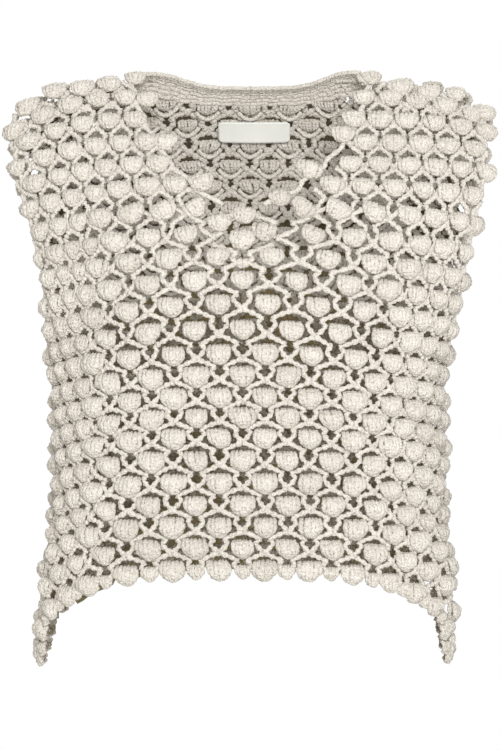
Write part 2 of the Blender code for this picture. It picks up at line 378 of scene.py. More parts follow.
# The web's two colours are painted shade for the gaps, the darker one towards the neck
WEB_LIGHT_PAINTED_SHADE = (0.30, 0.237, 0.125)
WEB_SHADE = (0.075, 0.058, 0.03)
SATIN = (0.87, 0.88, 0.84)
AMBIENT = (1.0, 0.96, 0.88)
AMBIENT_STRENGTH = 0.50
LIGHT_TARGET = (0, 0, -0.25)
KEY_PLACE = (0.3, -2.8, 0.45)
KEY_SIZE = 1.2
KEY_POWER = 66
BACK_PLACE = (0, 2.6, 2.0)
BACK_SIZE = 1.4
BACK_POWER = 75
WHITE = (1.0, 1.0, 1.0)
FLOOR_HEIGHT = -1.4
FLOOR_RADIUS = 3.5
FLOOR_COLOUR = (0.85, 0.85, 0.84)
FLOOR_SIDES = 64

# The camera, level with the middle of the photograph's frame
CAMERA_DISTANCE = 3.0
CAMERA_HEIGHT = -0.288
FRAME_HEIGHT = 0.7125
SENSOR = 0.036

random = np.random.default_rng(7)


def curve_through(table, column, row):
    """The value of one column of a table at a row, on a smooth curve through the table."""
    rows = table[:, 0]
    values = table[:, column]
    slopes = np.gradient(values, rows)
    i = int(np.clip(np.searchsorted(rows, row) - 1, 0, len(rows) - 2))
    span = rows[i + 1] - rows[i]
    s = float(np.clip((row - rows[i]) / span, 0, 1))
    rise = s * s * (3 - 2 * s)
    leaving = s * (1 - s) ** 2 * span
    arriving = -s * s * (1 - s) * span
    bend = slopes[i] * leaving + slopes[i + 1] * arriving
    return values[i] + (values[i + 1] - values[i]) * rise + bend


def middle_height(row):
    """The height of a row where it doesn't hang. The cloth turns over the shoulder in a round."""
    rounded = min(row, ROUND_ROW) - TOP_LINE
    fallen = SHOULDER_ROW_PITCH * rounded * rounded / (2 * (ROUND_ROW - TOP_LINE))
    upper = min(max(row - ROUND_ROW, 0), SHOULDER_ROWS - ROUND_ROW)
    lower = max(row - SHOULDER_ROWS, 0)
    sag = SHOULDER_SAG * max(1 - (row - TOP_LINE) / SHOULDER_SAG_ROWS, 0)
    return -fallen - sag - SHOULDER_ROW_PITCH * upper - BODY_ROW_PITCH * lower


def panel_depth(panel, row):
    full_row = FRONT_FULL_ROW if panel == "front" else BACK_FULL_ROW
    depth = FRONT_DEPTH if panel == "front" else BACK_DEPTH
    turn = min((row - TOP_LINE) / (full_row - TOP_LINE), 1)
    tucked = max(row - full_row, 0) / (HEM_LINE - full_row)
    return depth * math.sin(turn * math.pi / 2) - HEM_TUCK * tucked * tucked


def armhole_gap(row):
    if row >= SEAM_TOP_ROW:
        return 0.0
    return ARMHOLE_HALF_GAP * math.sin(math.pi * (row - TOP_LINE) / (SEAM_TOP_ROW - TOP_LINE))


def neck_half_width(row):
    share = np.clip((row - TOP_LINE) / (V_TIP_ROW - TOP_LINE), 0, 1)
    return NECK_HALF_WIDTH * (1 - share**NECK_POWER) ** NECK_ROUNDING


def nape_shape(x):
    return np.exp(-((x / NAPE_HALF_WIDTH) ** 4))


def surface_row(panel, side, row, share):
    """Points of one row of the surface at shares of the way to the side, and how far each hangs."""
    turn = np.linspace(0, math.pi / 2, ARC_STEPS + 1)
    x = curve_through(SECTIONS, WIDTH[side], row) * np.sin(turn) ** (2 / SQUARENESS)
    gap = armhole_gap(row)
    y = gap + (panel_depth(panel, row) - gap) * np.cos(turn).clip(0) ** (2 / SQUARENESS)
    if panel == "back":
        y = y + NAPE_DEPTH * max(1 - (row - TOP_LINE) / NAPE_ROWS, 0) * nape_shape(x)
    length = np.concatenate([[0], np.cumsum(np.hypot(np.diff(x), np.diff(y)))])
    neck = np.interp(neck_half_width(row), x, length)
    start = neck if panel == "front" else 0.0
    at = start + (length[-1] - start) * share
    hang = np.maximum((at - neck) / (length[-1] - neck), 0)
    height = middle_height(row) - curve_through(SECTIONS, FALL[side], row) * hang**FALL_POWER
    across = np.interp(at, length, x)
    deep = np.interp(at, length, y)
    root = np.sqrt((1 + CENTRE_EASE) ** 2 - 4 * CENTRE_EASE * share)
    column = ((1 + CENTRE_EASE) - root) / (2 * CENTRE_EASE)
    shift = CENTRE_SHIFT * np.interp(row, CENTRE_SHIFT_ROWS, (0, 1)) * (1 - column * column)
    if panel == "back":
        height = height - curve_through(SECTIONS, NAPE_DROP, row) * nape_shape(across)
        shift = 0.0
    facing = -1 if panel == "front" else 1
    return np.stack([side * across + shift, facing * deep, height, hang], axis=-1)


def whole_surface_row(panel, side, row):
    """One row of the surface at SHARES, carried on past the lip of the neck and past the side."""
    inside = SHARES[(SHARES > -0.001) & (SHARES < 1.001)].clip(0, 1)
    before = SHARES[SHARES < -0.001]
    after = SHARES[SHARES > 1.001]
    points = surface_row(panel, side, row, inside)
    share_step = inside[1] - inside[0]
    if panel == "front" and row < V_TIP_ROW:
        first = points[0] + before[:, None] * (points[2] - points[0]) / (2 * share_step)
    else:
        first = surface_row(panel, -side, row, -before)
    if row >= SEAM_TOP_ROW:
        other = "back" if panel == "front" else "front"
        last = surface_row(other, side, row, 2 - after)
    else:
        last = points[-1] + (after[:, None] - 1) * (points[-1] - points[-3]) / (2 * share_step)
    whole = np.concatenate([first, points, last])
    whole[:, 3] = whole[:, 3].clip(0)
    return whole


def neck_column(panel, side, row):
    """The column at the lip of the neck, 0 from its tip down."""
    if panel == "back":
        return 0.0
    return min(NECK_STEP[side] * max(NECK_TIP_ROW - row, 0), NECK_TOP_COLUMN)


def edge_column(panel, side, row):
    """The column at the armhole or the side seam."""
    if panel == "back":
        return float(SIDE_COLUMN)
    return float(np.interp(row, EDGE_ROWS, EDGE_COLUMNS[side]))


def crowded(panel, side, row, column):
    """How far along its row a column lies. The columns crowd towards the sides of the body."""
    first, full = CROWDED_COLUMNS
    into = np.clip(column - first, 0, full - first)
    past = np.maximum(column - full, 0)
    lost = into * into / (2 * (full - first)) + past
    lost = lost - LAST_COLUMN_EASE * np.maximum(column - (edge_column(panel, side, row) - 1), 0) ** 2
    share = 1.0 if panel == "back" else np.interp(row, CROWDED_ROWS, (0, 1))
    return column - CROWDING[side] * share * lost


def column_share(panel, side, row, column):
    """The share of the way from the lip or the middle to the side at which columns lie."""
    if panel == "back" or row >= V_TIP_ROW:
        sign, column = np.sign(column), np.abs(column)
    else:
        sign = 1.0
    start = crowded(panel, side, row, neck_column(panel, side, row))
    end = crowded(panel, side, row, edge_column(panel, side, row))
    share = (crowded(panel, side, row, column) - start) / (end - start)
    if panel == "front":
        opening = np.interp(row, TIP_ROWS, TIP_OPENING[side])
        opening = opening / curve_through(SECTIONS, WIDTH[side], row)
        reach = np.interp(row, TIP_ROWS, TIP_REACH)
        share = share + opening * np.sqrt(1 - share.clip(0, 1)) * np.clip(share / reach, 0, 1)
    return sign * share


def between(table, i, j):
    """Values of a table at fractional places of its first and second axis."""
    i = np.clip(i, 0, table.shape[0] - 1.001)
    j = np.clip(j, 0, table.shape[1] - 1.001)
    top, left = i.astype(int), j.astype(int)
    t, s = (i - top)[..., None], (j - left)[..., None]
    upper = table[top, left] * (1 - s) + table[top, left + 1] * s
    lower = table[top + 1, left] * (1 - s) + table[top + 1, left + 1] * s
    return upper * (1 - t) + lower * t


def stitch_row(panel, side, row, surface):
    """The points of one row of stitches: the surface's, at the height where that row hangs."""
    share = column_share(panel, side, row, GRID_COLUMNS)
    share_place = (share - SHARES[0]) / (SHARES[1] - SHARES[0])
    row_place = (row - GRID_ROWS[0]) / STEP
    here = between(surface, np.full(share.shape, row_place), share_place)
    fallen = curve_through(SECTIONS, FALL[side], row) * here[:, 3] ** FALL_POWER
    power = curve_through(STITCH_FALLS, STITCH_POWER, row)
    falls = curve_through(STITCH_FALLS, STITCH_FALL[side], row) * here[:, 3] ** power
    target = here[:, 2] + fallen - falls - curve_through(STITCH_FALLS, STITCH_DROP, row)
    ridge = int(round((TOP_LINE - GRID_ROWS[0]) / STEP))
    below_ridge = np.arange(ridge, len(GRID_ROWS), dtype=float)
    grid = np.meshgrid(below_ridge, share_place, indexing="ij")
    heights = between(surface, *grid)[..., 2]
    found = [np.interp(-z, -line, below_ridge) for z, line in zip(target, heights.T)]
    moved = (np.array(found) - row_place) * np.clip(row - TOP_LINE, 0, 1)
    return between(surface, row_place + moved, share_place)[:, :3]


class Cloth:
    """One panel as a smooth surface over columns and rows of stitches."""

    def __init__(self, panel):
        self.panel = panel
        self.points = {}
        self.outs = {}
        self.by_column = {}
        self.by_row = {}
        for side in (-1, 1):
            surface = np.array([whole_surface_row(panel, side, row) for row in GRID_ROWS])
            points = np.array([stitch_row(panel, side, row, surface) for row in GRID_ROWS])
            by_row, by_column = np.gradient(points, GRID_ROWS, GRID_COLUMNS, axis=(0, 1))
            out = np.cross(by_column, by_row) * (side if panel == "back" else -side)
            self.points[side] = points
            self.outs[side] = out / np.maximum(np.linalg.norm(out, axis=-1, keepdims=True), 1e-12)
            self.by_column[side] = by_column * side
            self.by_row[side] = by_row

    def look_up(self, table, side, column, row):
        """Values of a table at arrays of columns and rows, all on one side."""
        i = (row - GRID_ROWS[0]) / STEP
        j = (side * column - GRID_COLUMNS[0]) / STEP
        return between(table[side], i, j)

    def at(self, side, column, row, height):
        out = unit(self.look_up(self.outs, side, column, row))
        point = self.look_up(self.points, side, column, row) + height[..., None] * out
        return point, out


def unit(vectors):
    return vectors / np.maximum(np.linalg.norm(vectors, axis=-1, keepdims=True), 1e-9)


def curved(shape, t):
    """A value that changes along t, from its middle value, slope and curve."""
    middle, slope, curve = shape
    return middle + slope * t + curve * t * t


def smooth_path(points, count):
    """A smooth curve through points, at an even number of steps."""
    points = np.array(points, float)
    lengths = np.linalg.norm(np.diff(points[:, :2], axis=0), axis=1)
    knots = np.concatenate([[0], np.cumsum(lengths)])
    slopes = np.gradient(points, knots, axis=0)
    at = np.linspace(0, knots[-1], count)
    i = np.clip(np.searchsorted(knots, at) - 1, 0, len(knots) - 2)
    span = (knots[i + 1] - knots[i])[:, None]
    s = ((at - knots[i])[:, None]) / span
    start, end = points[i], points[i + 1]
    curve = start * (1 + 2 * s) * (1 - s) ** 2 + end * s * s * (3 - 2 * s)
    return curve + span * (slopes[i] * s * (1 - s) ** 2 - slopes[i + 1] * s * s * (1 - s))


class Yarn:
    """Collects tubes of yarn into the arrays of one mesh."""

    def __init__(self):
        self.vertices = []
        self.quads = []
        self.triangles = []
        self.quad_uvs = []
        self.triangle_uvs = []
        self.tones_and_painted_shade = []
        self.count = 0

    def add_mesh(self, vertices, quads, tone_and_painted_shade):
        """A ready mesh of quads, with its tone and painted shade."""
        self.vertices.append(vertices)
        self.quads.append(quads + self.count)
        self.quad_uvs.append(np.zeros((len(quads) * 4, 2)))
        self.tones_and_painted_shade.append(np.broadcast_to(tone_and_painted_shade, len(vertices)))
        self.count += len(vertices)

    def add(self, path, wide, radii_wide, radii_thick, sides, tone_and_painted_shade, out=None, inner_side_painted_shade=None):
        """Tubes along path (tubes, rings, 3), with wide as the direction of their first radius.

        The tone says for each ring how light its yarn is painted, from 0, painted shade in the creases,
        to 1. Where out is given, it is multiplied by the inner painted shade on the side of the tube
        that faces away from out.
        """
        tubes, rings = path.shape[:2]
        tone_and_painted_shade = np.broadcast_to(tone_and_painted_shade, (tubes, rings))
        tangent = unit(np.gradient(path, axis=1))
        first = unit(wide - (wide * tangent).sum(-1, keepdims=True) * tangent)
        second = np.cross(tangent, first)
        turn = np.arange(sides) / sides * 2 * math.pi
        ring = (radii_wide[..., None] * np.cos(turn))[..., None] * first[:, :, None]
        ring = ring + (radii_thick[..., None] * np.sin(turn))[..., None] * second[:, :, None]
        body = (path[:, :, None] + ring).reshape(tubes, rings * sides, 3)
        around_tone_and_painted_shade = np.repeat(tone_and_painted_shade[:, :, None], sides, axis=2)
        if out is not None:
            # The side that faces away from out is painted darker: painted shade on the inside of the
            # cloth
            inward = (-(unit(ring) * out[:, :, None]).sum(-1)).clip(0, 0.6) / 0.6
            around_tone_and_painted_shade = around_tone_and_painted_shade * (1 - inward * (1 - inner_side_painted_shade[..., None]))
        end_tone_and_painted_shade = np.stack([tone_and_painted_shade[:, 0], tone_and_painted_shade[:, -1]], axis=1)
        whole_tone_and_painted_shade = np.concatenate([around_tone_and_painted_shade.reshape(tubes, -1), end_tone_and_painted_shade], axis=1)
        self.tones_and_painted_shade.append(whole_tone_and_painted_shade.ravel())
        ends = np.stack([path[:, 0], path[:, -1]], axis=1)
        block = np.concatenate([body, ends], axis=1)
        per_tube = rings * sides + 2
        k, j = np.meshgrid(np.arange(rings - 1), np.arange(sides), indexing="ij")
        following = (j + 1) % sides
        this, below = k * sides, (k + 1) * sides
        quad = np.stack([this + j, this + following, below + following, below + j], axis=-1)
        quad = quad.reshape(-1, 4)
        around = np.arange(sides)
        last = (rings - 1) * sides
        cap_start = np.stack([around * 0 + rings * sides, (around + 1) % sides, around], axis=-1)
        tip = around * 0 + rings * sides + 1
        cap_end = np.stack([tip, last + around, last + (around + 1) % sides], axis=-1)
        cap = np.concatenate([cap_start, cap_end])
        offsets = self.count + np.arange(tubes)[:, None, None] * per_tube
        self.quads.append((quad[None] + offsets).reshape(-1, 4))
        self.triangles.append((cap[None] + offsets).reshape(-1, 3))
        steps = np.linalg.norm(np.diff(path, axis=1), axis=-1)
        length = np.concatenate([np.zeros((tubes, 1)), np.cumsum(steps, axis=1)], axis=1)
        u0, u1 = length[:, :-1, None], length[:, 1:, None]
        v0, v1 = j[None] / sides, (j[None] + 1) / sides
        corners = [(u0, v0), (u0, v1), (u1, v1), (u1, v0)]
        shape = (tubes, rings - 1, sides)
        uv = [np.stack([np.broadcast_to(u, shape), np.broadcast_to(v, shape)], -1) for u, v in corners]
        self.quad_uvs.append(np.stack(uv, axis=-2).reshape(-1, 2))
        self.triangle_uvs.append(np.zeros((tubes * len(cap) * 3, 2)))
        self.vertices.append(block.reshape(-1, 3))
        self.count += tubes * per_tube

    def piece(self, name, finish):
        vertices = np.concatenate(self.vertices)
        quads = np.concatenate(self.quads)
        triangles = np.concatenate(self.triangles) if self.triangles else np.zeros((0, 3), int)
        mesh = bpy.data.meshes.new(name)
        mesh.vertices.add(len(vertices))
        mesh.vertices.foreach_set("co", vertices.astype(np.float32).ravel())
        corners = np.concatenate([quads.ravel(), triangles.ravel()]).astype(np.int32)
        mesh.loops.add(len(corners))
        mesh.loops.foreach_set("vertex_index", corners)
        triangle_starts = len(quads) * 4 + np.arange(len(triangles)) * 3
        starts = np.concatenate([np.arange(len(quads)) * 4, triangle_starts])
        mesh.polygons.add(len(starts))
        mesh.polygons.foreach_set("loop_start", starts.astype(np.int32))
        mesh.update(calc_edges=True)
        layer = mesh.uv_layers.new(name="yarn")
        uvs = np.concatenate(self.quad_uvs + self.triangle_uvs)
        layer.data.foreach_set("uv", uvs.astype(np.float32).ravel())
        # The tone attribute carries random tone and painted shade, and the yarn's colour is mixed by it
        tone_and_painted_shade = mesh.attributes.new("tone_and_painted_shade", "FLOAT", "POINT")
        tone_and_painted_shade.data.foreach_set("value", np.concatenate(self.tones_and_painted_shade).astype(np.float32))
        mesh.shade_smooth()
        mesh.materials.append(finish)
        obj = bpy.data.objects.new(name, mesh)
        bpy.context.scene.collection.objects.link(obj)
        return obj


def placed_bobble(panel, side, column, row):
    """Where one bobble of the even lattice really lies: its column and row."""
    first, last = SHOULDER_BOBBLE_COLUMNS
    if panel == "front" and (column, row) == (0, 7):
        return column, LOW_TIP_ROW
    if row == 0 and first < abs(column) < last:
        return column, SHOULDER_BOBBLE_ROW[side]
    if abs(column) == SIDE_COLUMN and ARMHOLE_ROWS[0] <= row <= ARMHOLE_ROWS[1]:
        return side * ARMHOLE_COLUMN, row
    return column, row


def bobble_places(panel):
    """Column, row, side and size of each bobble of a panel's even lattice."""
    places = []
    for row in range(LAST_ROW + 1):
        first = -SIDE_COLUMN if row % 2 else -SIDE_COLUMN + 0.5
        for column in np.arange(first, SIDE_COLUMN + 0.1, 1.0):
            side = -1 if column < 0 else 1
            neck = neck_column(panel, side, row)
            cut = neck > 0 and abs(column) < neck - 0.12
            outside = abs(column) > edge_column(panel, side, row) + 0.15
            shared = panel == "back" and abs(column) == SIDE_COLUMN and row > UNDERARM_ROW
            if not (cut or outside or shared):
                places.append((*placed_bobble(panel, side, column, row), side, 1.0))
    return np.array(places)


def extra_places(panel):
    """The bobbles outside the even lattice: along the neck's lips, the hem and at its corners."""
    places = []
    if panel == "front":
        places += [(column, row, side, size) for side, column, row, size in LIP_BOBBLES]
    for column in range(-SIDE_COLUMN + 1, SIDE_COLUMN):
        places.append((column, HEM_KNOT_ROW, -1 if column < 0 else 1, HEM_KNOT_SIZE))
    for side in (-1, 1):
        places += [(side * column, row, side, size) for column, row, size in CORNER_BOBBLES]
    return np.array(places)


def inner_shade(panel, row):
    """How light the yarn is painted on its inside: the back's inside is painted in shade below the
    neck.
    """
    if panel == "front":
        return np.ones(np.shape(row))
    return np.interp(row, INNER_SHADE_ROWS, INNER_SHADE)


def lumpy(count, lump, period):
    """How thick the rings of a lumpy strand are, where 1 is even."""
    return 1 + lump * np.cos(np.arange(count) * 2 * math.pi / period)


def add_strands(yarn, cloth, places, shape, swell, mirror):
    """The same strand beside each of the places, swollen where strands meet."""
    path = smooth_path(shape, STRAND_RINGS)
    along = np.linspace(0, 1, STRAND_RINGS)
    for side in (-1, 1):
        chosen = places[places[:, 2] == side]
        column = chosen[:, 0:1] + mirror * path[None, :, 0]
        row = chosen[:, 1:2] + path[None, :, 1]
        lip = np.array([neck_column(cloth.panel, side, r) for r in row.ravel()]).reshape(row.shape)
        edge = np.array([edge_column(cloth.panel, side, r) for r in row.ravel()]).reshape(row.shape)
        keep = (np.abs(column) <= edge + SIDE_MARGIN).all(axis=1)
        keep &= ((lip == 0) | (side * column > lip - LIP_MARGIN)).all(axis=1)
        keep &= row.max(axis=1) <= HEM_ROW + HEM_MARGIN
        column, row = column[keep], row[keep]
        count = len(column)
        sway = STRAND_SWAY * random.standard_normal((count, 1)) * np.sin(math.pi * along)
        height = np.broadcast_to(path[:, 2], column.shape)
        points, out = cloth.at(side, column + sway, row, height)
        phase = random.uniform(0, 2 * math.pi, (count, 1))
        turns = np.arange(STRAND_RINGS) * 2 * math.pi / STRAND_LUMP_RINGS
        lumps = 1 + STRAND_LUMP * np.cos(phase + turns)
        uneven = random.standard_normal((count, STRAND_RINGS)).clip(-2, 2)
        lumps = (lumps + STRAND_UNEVENNESS * uneven) * np.interp(along, SWELL_PLACES, swell)
        width = STRAND_RADIUS * NET_THICKNESS[cloth.panel] * lumps
        thickness = width * STRAND_THIN_RADIUS / STRAND_RADIUS
        # The inside of the back's strands is painted in shade
        inner_side_painted_shade = inner_shade(cloth.panel, row)
        yarn.add(points, out, thickness, width, STRAND_SIDES, STRAND_PAINTED_SHADE, out, inner_side_painted_shade)


def add_edge_strand(yarn, cloth, side, column, row):
    """A lumpy strand along an edge of the cloth."""
    count = len(row)
    height = np.full((1, count), EDGE_HEIGHT)
    points, out = cloth.at(side, side * column[None], row[None], height)
    radius = (STRAND_RADIUS * lumpy(count, EDGE_LUMP, EDGE_LUMP_RINGS))[None]
    yarn.add(points, out, radius, radius, EDGE_SIDES, EDGE_PAINTED_SHADE)


def add_lips(yarn, cloth):
    """The strand along each lip of the neck."""
    for side in (-1, 1):
        row = np.linspace(*LIP_ROWS, LIP_RINGS)
        neck = np.array([neck_column("front", side, r) for r in row])
        column = neck + LIP_INSET + EDGE_SWAY * np.sin(row * LIP_WAVES)
        add_edge_strand(yarn, cloth, side, column, row)


def add_armhole_edges(yarn, cloth):
    """The strand along each armhole."""
    for side in (-1, 1):
        row = np.linspace(*ARMHOLE_EDGE_ROWS, ARMHOLE_EDGE_RINGS)
        edge = np.array([edge_column(cloth.panel, side, r) for r in row])
        add_edge_strand(yarn, cloth, side, edge + EDGE_SWAY * np.sin(row * math.pi), row)


def net(panel, cloth, places, finish):
    """The net of a panel: the strands between its bobbles, and those along its edges."""
    yarn = Yarn()
    tied = places[places[:, 1] < LAST_ROW]
    for mirror in (-1, 1):
        add_strands(yarn, cloth, tied, ARM, ARM_SWELL, mirror)
        add_strands(yarn, cloth, tied, HOLE_SIDE, HOLE_SIDE_SWELL, mirror)
    if panel == "front":
        add_lips(yarn, cloth)
    add_armhole_edges(yarn, cloth)
    return yarn.piece(f"{panel}_net", finish)


def painted_shade_web_piece(cloth, places, finish):
    """Thin dark rings of painted shade from behind each bobble to the middle of the strands round it.
    """
    yarn = Yarn()
    turn = np.arange(WEB_SEGMENTS) / WEB_SEGMENTS * 2 * math.pi
    across, down = np.cos(turn), np.sin(turn)
    reach = 1 / (np.abs(across) / WEB_OUTER_HALF_WIDTH + np.abs(down))
    inner = (WEB_INNER[0] * across, WEB_INNER[1] * down)
    rings = np.array([inner, (reach * across, reach * down)])
    k = np.arange(WEB_SEGMENTS)
    following = (k + 1) % WEB_SEGMENTS
    quads = []
    for a, b in ((0, 1), (1, 3), (3, 2), (2, 0)):
        first, second = a * WEB_SEGMENTS, b * WEB_SEGMENTS
        quads.append(np.stack([first + k, second + k, second + following, first + following], -1))
    quads = np.concatenate(quads)
    for side in (-1, 1):
        chosen = places[places[:, 2] == side]
        column = chosen[:, 0, None, None] + rings[None, :, 0]
        row = (chosen[:, 1, None, None] + rings[None, :, 1]).clip(WEB_NECK_ROW, HEM_ROW)
        row = np.where(np.abs(column) > PLAIN_BACK_COLUMN, row.clip(WEB_SHOULDER_ROW), row)
        column = column.clip(-SIDE_COLUMN, SIDE_COLUMN)
        outer, _ = cloth.at(side, column, row, np.full(column.shape, WEB_HEIGHT + WEB_THICKNESS))
        inner, _ = cloth.at(side, column, row, np.full(column.shape, WEB_HEIGHT))
        vertices = np.concatenate([outer, inner], axis=1)
        offsets = np.arange(len(chosen))[:, None, None] * 4 * WEB_SEGMENTS
        # The web's painted shade is darkest in the upper rows
        tone_and_painted_shade = np.interp(np.concatenate([row, row], axis=1).ravel(), WEB_PAINTED_SHADE_ROWS, (0, 1))
        yarn.add_mesh(vertices.reshape(-1, 3), (quads[None] + offsets).reshape(-1, 4), tone_and_painted_shade)
    return yarn.piece("back_painted_shade_web", finish)


def edging_lift(side, column, row):
    """How far the plain rows stand above the even surface, most near the shoulders."""
    away = (np.abs(column) - EDGING_CORNER[side]) / EDGING_CORNER_WIDTH
    corner = EDGING_CORNER_LIFT * np.exp(-(away**2))
    return (EDGING_LIFT + corner) * (EDGING_ROWS[-1] - row) / (EDGING_ROWS[-1] - EDGING_ROWS[0])


def back_neck_rows(cloth, finish):
    """The plain rows along the back neck, joined by short posts with slots between them."""
    yarn = Yarn()
    steps = np.linspace(0, EDGING_COLUMN, EDGING_RINGS)
    wave = EDGING_WAVE * np.sin(steps * math.pi / POST_STEP)
    radius = (EDGING_RADIUS * lumpy(EDGING_RINGS, EDGING_LUMP, EDGE_LUMP_RINGS))[None]
    thickness = radius * EDGING_THICKNESS
    for side in (-1, 1):
        column = (side * steps)[None]
        for row in EDGING_ROWS:
            line = (row + wave)[None]
            points, out = cloth.at(side, column, line, np.full(column.shape, EDGING_HEIGHT))
            points[..., 2] += edging_lift(side, column, line)
            yarn.add(points, out, radius, thickness, EDGE_SIDES, EDGING_PAINTED_SHADE)
        for k in range(len(EDGING_ROWS) - 1):
            post_line = np.linspace(EDGING_ROWS[k], EDGING_ROWS[k + 1], POST_RINGS)[None]
            post_radius = np.full(post_line.shape, EDGING_RADIUS)
            first = POST_STEP * (0.25 + 0.5 * (k % 2))
            for at in np.arange(first, EDGING_COLUMN, POST_STEP):
                place = np.full(post_line.shape, side * at) + POST_SWAY * random.standard_normal()
                points, out = cloth.at(side, place, post_line, np.full(place.shape, POST_HEIGHT))
                points[..., 2] += edging_lift(side, place, post_line)
                widths = (post_radius * POST_WIDTH, post_radius * POST_THICKNESS)
                yarn.add(points, out, *widths, POST_SIDES, POST_PAINTED_SHADE)
    return yarn.piece("back_neck_rows", finish)


def label_piece(cloth, finish):
    """The blank label: a thin closed strip with rounded corners inside the back."""
    column, row = np.array([LABEL_PLACE[0]]), np.array([LABEL_PLACE[1]])
    across = np.linalg.norm(cloth.look_up(cloth.by_column, 1, column, row))
    down = np.linalg.norm(cloth.look_up(cloth.by_row, 1, column, row))
    steps = [np.linspace(-0.5, 0.5, count) * size for count, size in zip(LABEL_GRID, LABEL_SIZE)]
    x, y = np.meshgrid(*steps)
    past = np.maximum(np.abs(y) - (LABEL_SIZE[1] / 2 - LABEL_CORNER), 0)
    x = x * (1 - (LABEL_CORNER - np.sqrt(LABEL_CORNER**2 - past**2)) / (LABEL_SIZE[0] / 2))
    sag = LABEL_SAG * (y / LABEL_SIZE[1] + 0.5) * np.cos(x / LABEL_SIZE[0] * LABEL_SAG_WAVE)
    layers = []
    for depth in (0.0, LABEL_THICKNESS):
        height = -(LABEL_INSET + sag + depth)
        points, _ = cloth.at(1, LABEL_PLACE[0] + x / across, LABEL_PLACE[1] + y / down, height)
        layers.append(points.reshape(-1, 3))
    rows, columns = x.shape
    index = np.arange(rows * columns).reshape(rows, columns)
    face = np.stack([index[:-1, :-1], index[:-1, 1:], index[1:, 1:], index[1:, :-1]], -1).reshape(-1, 4)
    border = np.concatenate([index[0], index[1:, -1], index[-1, -2::-1], index[-2:0:-1, 0]])
    following = np.roll(border, -1)
    far = rows * columns
    wall = np.stack([following, border, border + far, following + far], -1)
    quads = np.concatenate([face, face[:, ::-1] + far, wall])
    yarn = Yarn()
    yarn.add_mesh(np.concatenate(layers), quads, 1.0)
    return yarn.piece("woven_label", finish)


class Spots:
    """The bobbles of one side: their middles, their sizes, and the directions of their yarn."""

    def __init__(self, cloth, side, places, size):
        column, row = places[:, 0], places[:, 1]
        by_column = cloth.look_up(cloth.by_column, side, column, row)
        by_row = cloth.look_up(cloth.by_row, side, column, row)
        centre, out = cloth.at(side, column, row, np.zeros(len(places)))
        plumb = np.array([0.0, 0.0, -1.0]) - out * (-out[:, 2:3])
        down = unit(unit(by_row) + PLUMB_PULL * plumb)
        down = unit(down - out * (down * out).sum(-1, keepdims=True))
        right = np.cross(down, out)
        right = right * np.sign((right * by_column).sum(-1, keepdims=True))
        pitch = np.abs((by_column * right).sum(-1))
        narrowest = NARROWEST_BOBBLE * BOBBLE_HALF_WIDTH
        self.half_width = np.clip(BOBBLE_SHARE * pitch, narrowest, BOBBLE_HALF_WIDTH) * size
        self.half_height = BOBBLE_HALF_HEIGHT * size
        self.centre, self.right, self.down, self.out = centre, right, down, out

    def place(self, u, d, height):
        """Points at shares u to the right and d down of each bobble, at a height above it."""
        x = (u * self.half_width[:, None])[..., None] * self.right[:, None]
        y = (d * self.half_height[:, None] + BOBBLE_SHIFT)[..., None] * self.down[:, None]
        return self.centre[:, None] + x + y + height[..., None] * self.out[:, None]

    def repeated(self, directions, rings):
        """One direction for each bobble, repeated for the rings of its tubes."""
        return np.broadcast_to(directions[:, None], (len(directions), rings, 3))

    def add_stitch(self, yarn, shapes, t, radius, sides, tone_and_painted_shade):
        """The same curved stitch on each bobble, from its shapes across, down and out."""
        count = len(self.out)
        u, d, height = [np.tile(curved(shape, t), (count, 1)) for shape in shapes]
        radius = np.tile(radius, (count, 1))
        wide = self.repeated(self.out, len(t))
        yarn.add(self.place(u, d, height), wide, radius, radius, sides, tone_and_painted_shade)


